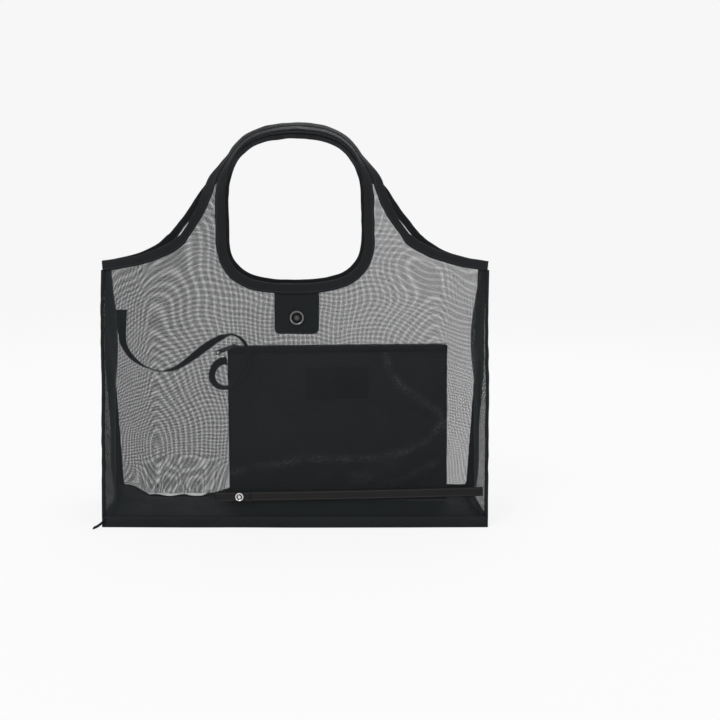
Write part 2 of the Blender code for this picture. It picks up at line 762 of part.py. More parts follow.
def pouch_label(frame):
    """The blank rubber patch on the pouch's front."""
    c, half_w, half_h = 0.0015, label_width / 2, label_height / 2
    outline = (arc((half_w - c, half_h - c), c, 0, 90, 3)
               + arc((c - half_w, half_h - c), c, 90, 180, 3)
               + arc((c - half_w, c - half_h), c, 180, 270, 3)
               + arc((half_w - c, c - half_h), c, 270, 360, 3))
    low, high = (label_middle + s * half_h for s in (-1, 1))
    y_low, y_high = (pouch_half(-1, 0, z) - pouch_shell for z in (low, high))
    slope = math.atan2(y_high - y_low, label_height)
    out = (y_low + y_high) / 2 - clearance - label_thickness / 2 - 0.0002
    turn = Matrix.Rotation(math.pi / 2 - slope, 4, "X")
    place = frame.matrix_world @ Matrix.Translation((0, out, label_middle)) @ turn
    flat_outline("pouch_label", [outline], label_thickness, place, BLACK_RUBBER)


def smooth_route(points, spacing):
    """Evenly spaced points on a smooth curve through points."""
    ends = [2 * Vector(points[0]) - Vector(points[1]), 2 * Vector(points[-1]) - Vector(points[-2])]
    knots = [ends[0]] + [Vector(p) for p in points] + [ends[1]]
    fine = []
    for a, b, c, d in zip(knots, knots[1:], knots[2:], knots[3:]):
        for i in range(20):
            t = i / 20
            fine.append(0.5 * (2 * b + (c - a) * t + (2 * a - 5 * b + 4 * c - d) * t ** 2
                               + (3 * b - a - 3 * c + d) * t ** 3))
    fine.append(knots[-2])
    run = [0.0]
    for low, high in zip(fine, fine[1:]):
        run.append(run[-1] + (high - low).length)
    count = round(run[-1] / spacing)
    made, at = [], 0
    for k in range(count + 1):
        target = run[-1] * k / count
        while at < len(run) - 2 and run[at + 1] < target:
            at += 1
        share = (target - run[at]) / (run[at + 1] - run[at])
        made.append(fine[at].lerp(fine[at + 1], share))
    return made


def leash():
    """The doubled tab sewn into the back left seam, and the tape from it to the pouch."""
    sections = []
    for (x, y, z), share in ((leash_tab_top, 1.0), (leash_tab_low, 0.7)):
        a, b = leash_tab_width * share / 2, leash_tab_thickness / 2
        sections.append([(x - a, y - b, z), (x + a, y - b, z), (x + a, y + b, z),
                         (x - a, y + b, z)])
    loft("leash_tab", sections, BLACK_TAPE)
    tube("leash", smooth_route(leash_route, leash_spacing), leash_wire, BLACK_TAPE)


def main():
    empty_scene()
    base()
    for side in (-1, 1):
        bag_panel(side)
        bag_edges(side)
        handle(side)
        snap_tab(side)
        magnetic_snap(side)
        for hand in (-1, 1):
            seam_tape(side, hand)
    for hand in (-1, 1):
        gusset(hand)
    low_strap()
    frame = pouch_frame()
    for side in (-1, 1):
        pouch_side(side, frame)
    zip_fastener(frame)
    pouch_label(frame)
    leash()


main()
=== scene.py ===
import math

import bmesh
import bpy
from mathutils import Matrix, Vector, noise


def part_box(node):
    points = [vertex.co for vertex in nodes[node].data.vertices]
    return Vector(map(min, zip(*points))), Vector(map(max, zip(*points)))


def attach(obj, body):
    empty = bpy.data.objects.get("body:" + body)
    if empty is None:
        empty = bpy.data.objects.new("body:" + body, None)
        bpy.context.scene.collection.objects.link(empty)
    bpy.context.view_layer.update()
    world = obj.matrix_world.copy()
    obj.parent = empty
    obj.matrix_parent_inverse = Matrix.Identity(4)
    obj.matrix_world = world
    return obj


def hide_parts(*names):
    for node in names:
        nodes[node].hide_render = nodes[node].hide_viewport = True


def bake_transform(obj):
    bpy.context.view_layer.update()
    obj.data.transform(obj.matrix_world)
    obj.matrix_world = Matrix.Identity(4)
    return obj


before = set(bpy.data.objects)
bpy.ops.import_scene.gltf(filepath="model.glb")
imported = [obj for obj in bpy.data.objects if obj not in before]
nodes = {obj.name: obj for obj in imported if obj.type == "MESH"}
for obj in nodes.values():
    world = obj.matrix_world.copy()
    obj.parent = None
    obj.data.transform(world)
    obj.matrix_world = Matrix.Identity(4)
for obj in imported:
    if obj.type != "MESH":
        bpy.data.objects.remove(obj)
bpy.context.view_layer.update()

# Camera and the leash's route come first
camera_data = bpy.data.cameras.new("camera")
camera_data.lens = 46.8
camera_data.shift_x = 0.0903
camera = bpy.data.objects.new("camera", camera_data)
camera.location = (0, -1.10, 0.327)
camera.rotation_euler = (math.radians(82.5), 0, 0)
bpy.context.collection.objects.link(camera)
bpy.context.scene.camera = camera

leash_tab_ends = (Vector((-0.2093, 0.0245, 0.2400)), Vector((-0.2095, 0.0291, 0.2105)))
leash_width = 0.0095
leash_thickness = 0.0011
leash_route = (
    (-0.2095, 0.0291, 0.2130), (-0.2088, 0.0302, 0.2000), (-0.2037, 0.0325, 0.1876),
    (-0.1956, 0.0345, 0.1776), (-0.1838, 0.0360, 0.1694), (-0.1657, 0.0375, 0.1636),
    (-0.1472, 0.0370, 0.1668), (-0.1283, 0.0345, 0.1789), (-0.1095, 0.0305, 0.1935),
    (-0.0931, 0.0250, 0.2045), (-0.0782, 0.0200, 0.2105), (-0.0659, 0.0165, 0.2067),
    (-0.0580, 0.0150, 0.1961), (-0.0560, 0.0145, 0.1829), (-0.0605, 0.0145, 0.1684),
    (-0.0710, 0.0150, 0.1545), (-0.0833, 0.0165, 0.1464), (-0.0943, 0.0190, 0.1485),
    (-0.1005, 0.0225, 0.1574), (-0.0985, 0.0265, 0.1690), (-0.0920, 0.0305, 0.1755),
    (-0.0835, 0.0345, 0.1772),
)
# How far the tape is turned, in degrees, at some of the route's points: 0 shows its face
leash_turns = {0: 0, 2: 40, 5: 82, 6: 60, 8: 10, 9: 40, 10: 75, 12: 60, 14: 30, 16: 70, 18: 45,
               20: 10, 21: 0}


# Sizes of the CAD's design
base_depth = 0.140
base_width = 0.436
shoulder_width = 0.446
shoulder_height = 0.299
mouth_depth = 0.100
corner_depth = 0.026
rim_height = 0.275
inner_top = 0.4435
handle_lean = math.radians(61)
strap_width = 0.025
split = 0.330
handles = {
    -1: {"half_open": 0.0775, "flare": 0.0265, "neck": 0.383, "power": 1.6},
    1: {"half_open": 0.0800, "flare": 0.0470, "neck": 0.395, "power": 1.2},
}
tape_width = 0.0115
lean = (base_depth - mouth_depth) / 2 / shoulder_height
corner_lean = (base_depth - corner_depth) / 2 / shoulder_height
SIDES = {-1: "front", 1: "back"}


def smooth(t):
    t = min(max(t, 0.0), 1.0)
    return t * t * (3 - 2 * t)


def mirrored(v):
    return Vector((-v.x, v.y, v.z))


def panel_y(side, x, z):
    pinch = min(abs(2 * x / shoulder_width), 1) ** 3
    return side * (base_depth / 2 - (lean + (corner_lean - lean) * pinch) * z)


def half_width(z):
    return base_width / 2 + (shoulder_width - base_width) / 2 * z / shoulder_height


def in_panel(side, x, z, direction):
    step = 0.001
    low = Vector((-direction[0], 0, -direction[1])) * step / 2
    high = -low
    low.y, high.y = (panel_y(side, x + p.x, z + p.z) for p in (low, high))
    return (high - low).normalized()


def outward(side, x, z):
    across, up = in_panel(side, x, z, (1, 0)), in_panel(side, x, z, (0, 1))
    return across.cross(up).normalized() * -side


def on_panel(side, x, z, out=0.0):
    return Vector((x, panel_y(side, x, z), z)) + outward(side, x, z) * out


def bezier(p0, p1, p2, p3, steps):
    made = []
    for i in range(steps + 1):
        t = i / steps
        weights = ((1 - t) ** 3, 3 * t * (1 - t) ** 2, 3 * t * t * (1 - t), t ** 3)
        made.append(Vector([sum(w * p[k] for w, p in zip(weights, (p0, p1, p2, p3)))
                            for k in range(2)]))
    return made


def rim_outline(side, steps=24):
    reach = handles[side]["half_open"]
    return bezier((0, rim_height), (0.65 * reach, rim_height), (0.98 * reach, rim_height + 0.010),
                  (reach, rim_height + 0.047), steps) + [Vector((reach, split))]


def leg_width(side, z):
    shape = handles[side]
    rise = (z - split) / (shape["neck"] - split)
    return strap_width + shape["flare"] * max(0.0, 1 - max(rise, 0.0)) ** shape["power"]


def shoulder_outline(side, steps=20):
    foot = handles[side]["half_open"] + leg_width(side, split)
    corner = shoulder_width / 2
    middle = (corner + foot) / 2
    return bezier((corner, shoulder_height), (middle - 0.005, shoulder_height + 0.005),
                  (foot + 0.011, split - 0.011), (foot, split), steps)


def slip(x):
    """How far the back of the base has slipped forward, 0 to 1: only near its left end."""
    dip = smooth((x + 0.207) / 0.03) * (1 - smooth((x + 0.118) / 0.055))
    return dip * (1 + 0.10 * math.sin(x * 190) + 0.05 * math.sin(x * 410))


def settle(point, crinkle=0.0007):
    """Where a point of the flat design lies once the cloth has sagged and settled."""
    x, y, z = point
    held = 1.0
    for hx, hz, reach in ((0.002, 0.240, 0.050), (-0.0627, 0.036, 0.035)):
        held *= 1 - math.exp(-((x - hx) ** 2 + (z - hz) ** 2) / reach ** 2)
    depth = max(abs(panel_y(1, x, min(z, shoulder_height))), 0.012)
    q = max(-1.0, min(1.0, y / depth))
    side = -1 if q < 0 else 1
    rise = smooth((z - 0.008) / 0.07)
    calm = 1 - 0.75 * smooth((z - 0.33) / 0.05)
    edge = abs(x) / half_width(z)
    wave = 0.0038 * noise.noise(Vector((x * 8 + 3 * side, z * 6, 2.1)))
    wave += 0.0016 * noise.noise(Vector((x * 22, z * 9 + 5 * side, 7.4)))
    dy = wave * rise * calm * held * abs(q)
    dy -= 0.027 * slip(x) * (1 - smooth((z - 0.003) / 0.05)) * smooth((q + 0.1) / 1.1)
    if q < -0.5 and z < 0.09:
        dy -= 0.0022 * (1 - min(edge, 1) ** 2) * (1 - smooth(z / 0.08)) * held
    tuck = smooth((edge - 0.90) / 0.10) * (1 - min(abs(q), 1) ** 2)
    fold = 0.013 * math.exp(-((z - 0.19) / 0.085) ** 2)
    fold += 0.0035 * math.sin(y * 110 + z * 30) * smooth(z / 0.05)
    dx = -math.copysign(1, x) * tuck * fold
    dx += 0.0011 * noise.noise(Vector((3.3 * side, z * 16, 4.2))) * rise
    spread = 0.0105 * smooth((edge - 0.78) / 0.22) * smooth((q + 0.2) / 1.2)
    spread *= 1 - 0.60 * smooth((z - 0.15) / 0.12)
    dx += math.copysign(1, x) * spread * smooth((z - 0.002) / 0.012) * (z < 0.32)
    crinkle *= rise * held
    dx += crinkle * noise.noise(Vector((x * 80, z * 80, 6.0 * side)))
    dz_small = crinkle * noise.noise(Vector((x * 75, z * 75, 9.0 + 4 * side)))
    dz = 0.0012 * noise.noise(Vector((x * 13, 2.0 * side, 1.7))) * smooth(z / 0.2) * held
    return Vector((x + dx, y + dy, z + dz + dz_small))


def finish_mesh(name, bm, body, material, settled=True, shade=True, crinkle=0.0007):
    if settled:
        for vert in bm.verts:
            vert.co = settle(vert.co, crinkle)
    data = bpy.data.meshes.new(name)
    bm.to_mesh(data)
    bm.free()
    made = bpy.data.objects.new(name, data)
    bpy.context.collection.objects.link(made)
    data.materials.append(material)
    for polygon in data.polygons:
        polygon.use_smooth = shade
    if body:
        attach(made, body)
    return made


def add_grid(bm, rows, flats, layer):
    """Rows of points as a sheet; flats are the same points on the flat cloth, in metres."""
    verts = [[bm.verts.new(p) for p in row] for row in rows]
    for i in range(len(verts) - 1):
        for j in range(len(verts[0]) - 1):
            around = ((i, j), (i, j + 1), (i + 1, j + 1), (i + 1, j))
            face = bm.faces.new([verts[a][b] for a, b in around])
            for loop, (a, b) in zip(face.loops, around):
                loop[layer].uv = flats[a][b]


def declare_sheet(obj):
    """Adds up the cloth's area and gathers its flat corners, from its flat coordinates; neither is kept
    or returned.
    """
    uvs = obj.data.uv_layers["cloth"].uv
    area, spots = 0.0, []
    for polygon in obj.data.polygons:
        corners = [uvs[i].vector for i in polygon.loop_indices]
        spots += corners
        area += abs(sum(a.x * b.y - b.x * a.y for a, b in zip(corners, corners[1:] + corners[:1]))) / 2


def band(name, frames, ring, material, body=None, closed=False, settled=True):
    """A solid strip through (origin, across, normal) frames with a ring of (a, b) as its section."""
    bm = bmesh.new()
    layer = bm.loops.layers.uv.new("cloth")
    loops = [[bm.verts.new(o + a * u + n * v) for u, v in ring] for o, a, n in frames]
    run = [0.0]
    for low, high in zip(frames, frames[1:] + frames[:1]):
        run.append(run[-1] + (high[0] - low[0]).length)
    count = len(loops)
    for i in range(count if closed else count - 1):
        k = (i + 1) % count
        for j in range(len(ring)):
            m = (j + 1) % len(ring)
            face = bm.faces.new((loops[i][j], loops[i][m], loops[k][m], loops[k][j]))
            for loop, (u, v) in zip(face.loops, ((run[i], ring[j][0]), (run[i], ring[m][0]),
                                                 (run[i + 1], ring[m][0]), (run[i + 1], ring[j][0]))):
                loop[layer].uv = (u, v)
    if not closed:
        for end in (loops[0], loops[-1]):
            bm.faces.new(end)
    bmesh.ops.recalc_face_normals(bm, faces=bm.faces)
    return finish_mesh(name, bm, body, material, settled)


def tape_ring(width, thick):
    """The section of a folded tape: rounded at the fold, a little thinner at its sewn edge."""
    t = thick / 2
    half = [(0, 0), (0.0003, 0.62 * t), (0.0009, 0.95 * t), (0.25 * width, t), (0.6 * width, 0.96 * t),
            (width - 0.0028, 0.93 * t), (width - 0.0020, 0.78 * t), (width - 0.0012, 0.93 * t),
            (width - 0.0002, 0.80 * t), (width, 0.45 * t)]
    return half + [(a, -b) for a, b in half[:0:-1]]


def flat_ring(width, thick):
    """A flat strip with soft edges, centred on its path."""
    w, t = width / 2, thick / 2
    corner = [(w, 0.35 * t), (w - 0.3 * t, 0.9 * t), (w - 1.2 * t, t), (0, t)]
    top = corner + [(-a, b) for a, b in corner[-2::-1]]
    return top + [(a, -b) for a, b in top[::-1]]


# Materials
class Shader:
    """A Principled material with a few procedural helpers."""

    def __init__(self, name, colour, roughness, metallic=0.0, sheen=0.0, specular=0.5):
        self.material = bpy.data.materials.new(name)
        self.material.use_nodes = True
        self.tree = self.material.node_tree
        self.shader = self.tree.nodes["Principled BSDF"]
        self.out = self.tree.nodes["Material Output"]
        self.set("Base Color", (*colour, 1))
        self.set("Roughness", roughness)
        self.set("Metallic", metallic)
        self.set("Sheen Weight", sheen)
        self.set("Specular IOR Level", specular)
        self.height = None

    def set(self, socket, value):
        self.shader.inputs[socket].default_value = value

    def new(self, kind, **settings):
        node = self.tree.nodes.new(kind)
        for key, value in settings.items():
            setattr(node, key, value)
        return node

    def link(self, source, target):
        self.tree.links.new(source, target)

    def math(self, operation, *values, clamp=False):
        node = self.new("ShaderNodeMath", operation=operation, use_clamp=clamp)
        for socket, value in zip(node.inputs, values):
            if isinstance(value, (int, float)):
                socket.default_value = value
            else:
                self.link(value, socket)
        return node.outputs[0]

    def uv(self):
        """The flat cloth's own coordinates, along and across, in metres."""
        split_node = self.new("ShaderNodeSeparateXYZ")
        self.link(self.new("ShaderNodeUVMap", uv_map="cloth").outputs[0], split_node.inputs[0])
        return split_node.outputs[0], split_node.outputs[1]

    def place(self):
        split_node = self.new("ShaderNodeSeparateXYZ")
        self.link(self.new("ShaderNodeTexCoord").outputs["Object"], split_node.inputs[0])
        return split_node.outputs

    def noise(self, scale, detail=2.0, vector=None, roughness=0.5):
        node = self.new("ShaderNodeTexNoise")
        node.inputs["Scale"].default_value = scale
        node.inputs["Detail"].default_value = detail
        node.inputs["Roughness"].default_value = roughness
        self.link(vector or self.new("ShaderNodeTexCoord").outputs["Object"], node.inputs["Vector"])
        return node.outputs["Fac"]

    def ramp(self, value, low, high, to_low, to_high):
        node = self.new("ShaderNodeMapRange", clamp=True)
        self.link(value, node.inputs["Value"])
        for socket, number in zip(node.inputs[1:5], (low, high, to_low, to_high)):
            socket.default_value = number
        return node.outputs[0]

    def mix(self, factor, low, high):
        node = self.new("ShaderNodeMix", data_type="RGBA")
        self.link(factor, node.inputs[0])
        for socket, colour in zip((node.inputs[6], node.inputs[7]), (low, high)):
            if isinstance(colour, tuple):
                socket.default_value = (*colour, 1)
            else:
                self.link(colour, socket)
        return node.outputs[2]

    def colour(self, socket):
        self.link(socket, self.shader.inputs["Base Color"])

    def roughness(self, socket):
        self.link(socket, self.shader.inputs["Roughness"])

    def bump(self, height, distance, strength=1.0):
        node = self.new("ShaderNodeBump")
        node.inputs["Strength"].default_value = strength
        node.inputs["Distance"].default_value = distance
        self.link(height, node.inputs["Height"])
        if self.height is not None:
            self.link(self.height, node.inputs["Normal"])
        self.height = node.outputs[0]
        self.link(self.height, self.shader.inputs["Normal"])

    def ribs(self, coordinate, pitch):
        """A rounded rib every pitch metres: 0 in the groove, 1 on top."""
        wave = self.math("SINE", self.math("MULTIPLY", coordinate, 2 * math.pi / pitch))
        return self.math("MULTIPLY_ADD", wave, 0.5, 0.5)

    def near(self, coordinate, where, half):
        """1 within half of where, otherwise 0."""
        away = self.math("ABSOLUTE", self.math("SUBTRACT", coordinate, where))
        return self.math("LESS_THAN", away, half)


def mesh_cloth(name, thread, pitch=0.00062):
    """Open mesh: the material is clear between its threads, which get thinner to the right and top."""
    s = Shader(name, (0.006, 0.009, 0.011), 0.75, sheen=0.0, specular=0.25)
    u, v = s.uv()
    warp = s.noise(9.0, 1.0)
    warp_two = s.noise(14.0, 1.0)
    u = s.math("ADD", u, s.math("MULTIPLY", warp, 0.0026))
    v = s.math("ADD", v, s.math("MULTIPLY", warp_two, 0.0026))
    cells = []
    tight = s.ramp(s.math("MULTIPLY_ADD", s.place()[2], 0.35, s.place()[0]), -0.20, 0.26,
                   thread * 1.14, thread * 0.80)
    width = s.math("MULTIPLY", tight, s.ramp(s.noise(7.0, 1.0), 0.3, 0.7, 1.05, 0.95))
    for axis in (u, v):
        at = s.math("FRACT", s.math("MULTIPLY", axis, 1 / pitch))
        away = s.math("ABSOLUTE", s.math("SUBTRACT", at, 0.5))
        cells.append(s.math("LESS_THAN", away, s.math("MULTIPLY", width, 0.5)))
    solid = s.math("MAXIMUM", *cells)
    s.link(solid, s.shader.inputs["Alpha"])
    s.colour(s.mix(s.noise(18.0, 3.0), (0.0050, 0.0075, 0.0090), (0.0110, 0.0140, 0.0160)))
    return s.material


def woven(name, dark, light, rough, sheen=0.0, pitch=0.0007, stitches=(), depth=0.00012):
    """Tight woven tape or cloth with fine ribs and rows of stitches at the given distances."""
    s = Shader(name, dark, rough, sheen=sheen, specular=0.14)
    u, v = s.uv()
    ribs, cross = s.ribs(u, pitch), s.ribs(v, pitch * 1.3)
    weave = s.math("MULTIPLY", ribs, cross)
    cloudy = s.noise(30.0, 4.0, roughness=0.6)
    s.roughness(s.ramp(cloudy, 0.3, 0.7, rough - 0.08, rough + 0.10))
    tone = s.mix(s.ramp(cloudy, 0.3, 0.75, 0, 1), dark, light)
    s.bump(weave, depth, 0.6)
    s.bump(s.noise(90.0, 3.0), 0.0004, 0.5)
    for where in stitches:
        thread = s.math("MULTIPLY", s.near(v, where, 0.00032),
                        s.math("LESS_THAN", s.math("FRACT", s.math("MULTIPLY", u, 1 / 0.0030)), 0.74))
        tone = s.mix(thread, tone, tuple(2.5 * c + 0.004 for c in light))
        s.bump(thread, 0.00025, 0.8)
    s.colour(tone)
    return s.material


def ripstop(name):
    """Thin coated ripstop: a fine plain weave with a square of thicker threads every 5 mm. Its crumples
    carry painted shade, the thicker threads a painted sheen and its creases painted highlights.
    """
    s = Shader(name, (0.004, 0.005, 0.006), 0.42, sheen=0.0, specular=0.22)
    u, v = s.uv()
    lines = [s.math("LESS_THAN", s.math("FRACT", s.math("MULTIPLY", axis, 1 / 0.0048)), 0.09)
             for axis in (u, v)]
    grid = s.math("MAXIMUM", *lines)
    weave = s.math("MULTIPLY", s.ribs(u, 0.00055), s.ribs(v, 0.00055))
    crumple_and_painted_shade = s.noise(38.0, 5.0, roughness=0.62)
    # The crumple noise raises the bump and also tints the colour, darker in its hollows and lighter on
    # its ridges, as painted shade. The square of thicker threads is a real pattern, drawn in a lighter
    # tone as painted sheen.
    tone = s.mix(grid, s.mix(crumple_and_painted_shade, (0.0030, 0.0036, 0.0044), (0.0062, 0.0070, 0.0080)),
                 (0.0085, 0.0095, 0.0108))
    # Painted highlights along the pouch's creases: a per-point strength, broken into specks, mixes the
    # colour towards a pale grey.
    speck = s.ramp(s.noise(520.0, 2.0), 0.42, 0.62, 0.15, 1.0)
    painted_highlight = s.new("ShaderNodeAttribute", attribute_name="painted_glint").outputs["Fac"]
    s.colour(s.mix(s.math("MULTIPLY", painted_highlight, speck), tone, (0.090, 0.088, 0.084)))
    s.roughness(s.ramp(crumple_and_painted_shade, 0.35, 0.7, 0.34, 0.52))
    s.bump(crumple_and_painted_shade, 0.0012, 0.45)
    s.bump(weave, 0.00008, 0.5)
    s.bump(grid, 0.00018, 0.6)
    return s.material


def metal(name, colour, rough, scratch=0.06):
    s = Shader(name, colour, rough, metallic=1.0)
    worn = s.noise(420.0, 4.0, roughness=0.7)
    s.roughness(s.ramp(worn, 0.35, 0.7, rough - 0.04, rough + scratch))
    s.colour(s.mix(worn, tuple(0.86 * c for c in colour), tuple(min(1, 1.1 * c) for c in colour)))
    s.bump(worn, 0.00002, 0.4)
    return s.material


def ringed(name, centre, axis, rings, rough):
    """Metal with rings of tone drawn round the snap's middle: (radius, tone) pairs; the bright rings and
    the bright middle are painted highlights on the cap.
    """
    s = Shader(name, (0.1, 0.1, 0.1), rough, metallic=1.0)
    place = s.new("ShaderNodeTexCoord").outputs["Object"]
    offset = s.new("ShaderNodeVectorMath", operation="SUBTRACT")
    s.link(place, offset.inputs[0])
    offset.inputs[1].default_value = centre
    flat = s.new("ShaderNodeVectorMath", operation="MULTIPLY")
    s.link(offset.outputs[0], flat.inputs[0])
    flat.inputs[1].default_value = axis
    away = s.new("ShaderNodeVectorMath", operation="LENGTH")
    s.link(flat.outputs[0], away.inputs[0])
    ramp = s.new("ShaderNodeValToRGB")
    ramp.color_ramp.interpolation = "EASE"
    s.link(s.math("MULTIPLY", away.outputs["Value"], 1 / rings[-1][0]), ramp.inputs[0])
    while len(ramp.color_ramp.elements) < len(rings):
        ramp.color_ramp.elements.new(0.5)
    for element, (radius, tone) in zip(ramp.color_ramp.elements, rings):
        element.position = radius / rings[-1][0]
        element.color = (tone, tone, tone * 1.02, 1)
    s.colour(ramp.outputs[0])
    worn = s.noise(420.0, 4.0, roughness=0.7)
    s.roughness(s.ramp(worn, 0.35, 0.7, rough - 0.04, rough + 0.06))
    s.bump(worn, 0.00002, 0.4)
    return s.material


def middle(name):
    low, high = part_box(name)
    return tuple((a + b) / 2 for a, b in zip(low, high))


def rubber(name, colour):
    s = Shader(name, colour, 0.45, specular=0.12)
    grain = s.noise(700.0, 3.0)
    s.roughness(s.ramp(grain, 0.3, 0.7, 0.38, 0.55))
    s.colour(s.mix(s.noise(60.0, 2.0), colour, tuple(1.5 * c for c in colour)))
    s.bump(grain, 0.00003, 0.5)
    return s.material


INK = (0.0034, 0.0046, 0.0058)
mesh_front = mesh_cloth("mesh_front", 0.305, 0.00056)
mesh_back = mesh_cloth("mesh_back", 0.305, 0.00056)
mesh_side = mesh_cloth("mesh_side", 0.62)
tape_black = woven("tape_black", INK, (0.0075, 0.0090, 0.0105), 0.60, stitches=(0.0095,))
seam_black = woven("seam_black", INK, (0.0080, 0.0098, 0.0115), 0.60)
cloth_black = woven("cloth_black", (0.0034, 0.0048, 0.0062), (0.0072, 0.0092, 0.0110), 0.66,
                    pitch=0.0010)
tab_black = woven("tab_black", (0.0030, 0.0042, 0.0054), (0.0062, 0.0078, 0.0094), 0.62,
                  pitch=0.0009, stitches=(0.0022,))
leash_black = woven("leash_black", INK, (0.0090, 0.0105, 0.0120), 0.55,
                    stitches=(-0.0034, 0.0034))
ripstop_black = ripstop("ripstop_black")
zip_cloth = woven("zip_cloth", (0.0030, 0.0036, 0.0044), (0.0060, 0.0070, 0.0082), 0.62,
                  pitch=0.0005)
plastic_black = rubber("coil_black", (0.006, 0.006, 0.007))
label_black = rubber("label_black", (0.0035, 0.0040, 0.0048))
gunmetal = metal("gunmetal", (0.085, 0.088, 0.095), 0.26)
silver = metal("silver", (0.80, 0.79, 0.77), 0.18)


# Painted highlights: a bright ring and a lighter middle drawn on the front snap's cap
snap_painted_rings = ringed("snap_painted_rings", middle("front_snap_cap"), (1, 0, 1),
                   ((0.0, 0.10), (0.0022, 0.07), (0.0034, 0.012), (0.0058, 0.015), (0.0066, 0.20),
                    (0.0076, 0.12), (0.0086, 0.015)), 0.24)
# Painted highlights: a bright ring and a bright middle drawn on the strap snap's cap
strap_painted_rings = ringed("strap_painted_rings", middle("strap_snap_cap"), (1, 0, 1),
                    ((0.0, 0.80), (0.0013, 0.62), (0.0021, 0.03), (0.0031, 0.06), (0.0037, 0.75),
                     (0.0046, 0.50)), 0.20)


def twill(name):
    """Narrow webbing: diagonal ribs and a line of stitching along both edges; the ribs are drawn darker
    in their grooves and lighter on top, as painted shade.
    """
    s = Shader(name, (0.009, 0.008, 0.008), 0.6, sheen=0.0, specular=0.15)
    u, v = s.uv()
    slant = s.math("ADD", u, s.math("MULTIPLY", v, 1.2))
    ribs = s.ribs(slant, 0.0013)
    fine = s.ribs(v, 0.0007)
    cloudy = s.noise(40.0, 4.0)
    # The diagonal rib pattern is real; its grooves are drawn darker and its tops lighter, as painted
    # shade.
    tone = s.mix(ribs, (0.0045, 0.0040, 0.0040), (0.0130, 0.0118, 0.0118))
    for where in (-0.0038, 0.0038):
        thread = s.math("MULTIPLY", s.near(v, where, 0.0003),
                        s.math("LESS_THAN", s.math("FRACT", s.math("MULTIPLY", u, 1 / 0.0026)), 0.7))
        tone = s.mix(thread, tone, (0.034, 0.032, 0.031))
        s.bump(thread, 0.0002, 0.8)
    s.colour(tone)
    s.roughness(s.ramp(cloudy, 0.3, 0.7, 0.5, 0.68))
    s.bump(s.math("MULTIPLY", ribs, fine), 0.0002, 0.8)
    return s.material


webbing = twill("webbing")


# The bag's cloth
def handle_rows(side, steps=56, across=9):
    """For each step over the handle: (near edge point, direction, normal, row of points, flats)."""
    reach = handles[side]["half_open"]
    turn = split + 0.030
    rise = inner_top - turn
    inner = [Vector((reach, split + (turn - split) * i / 6)) for i in range(6)]
    inner += bezier((reach, turn), (reach, turn + 0.66 * rise), (0.8 * reach, inner_top),
                    (0, inner_top), steps)
    run, made = 0.0, []
    for i, point in enumerate(inner):
        if i:
            run += (point - inner[i - 1]).length
        along = inner[min(i + 1, len(inner) - 1)] - inner[max(i - 1, 0)]
        if i == len(inner) - 1:
            along = Vector((-1, 0))
        way = Vector((along.y, -along.x)).normalized()
        width = leg_width(side, point.y)
        start = on_panel(side, point.x, point.y)
        flat = point + way * width
        away = (on_panel(side, flat.x, flat.y) - start).normalized()
        normal = (in_panel(side, point.x, point.y, along).cross(away) * side).normalized()
        share = smooth((run - 0.038) / 0.052)
        roll = handle_lean * share
        turned = away * math.cos(roll) - normal * math.sin(roll)
        facing = normal * math.cos(roll) + away * math.sin(roll)
        row, flats = [], []
        for k in range(across):
            t = 0.03 + 0.94 * k / (across - 1)
            spot = point + way * width * t
            curved = on_panel(side, spot.x, spot.y)
            row.append(curved.lerp(start + turned * width * t, smooth(share * 3)))
            flats.append((spot.x, spot.y))
        made.append((start, start + turned * width, turned, facing, row, flats))
    other = [(mirrored(a), mirrored(b), mirrored(c), mirrored(d), [mirrored(p) for p in row],
              [(-x, z) for x, z in flats]) for a, b, c, d, row, flats in made[:-1]]
    return made + other[::-1]


def panel_columns(side):
    """(x, top) along the panel, from left to right."""
    rim = [(p.x, p.y - 0.004) for p in rim_outline(side)[:-1]]
    reach = handles[side]["half_open"] + 0.004
    columns = [(min(x + 0.004 * smooth(i / len(rim)), reach), z) for i, (x, z) in enumerate(rim)]
    columns[-1] = (reach, columns[-1][1])
    shoulder = shoulder_outline(side)
    far = shoulder[-1].x - 0.003
    columns += [(reach + 0.0002 + (far - reach - 0.0002) * i / 10, split) for i in range(11)]
    columns += [(p.x - 0.0015, p.y - 0.0035) for p in shoulder[-2:0:-1]]
    columns.append((half_width(shoulder_height), shoulder_height - 0.003))
    return [(-x, z) for x, z in columns[:0:-1]] + columns


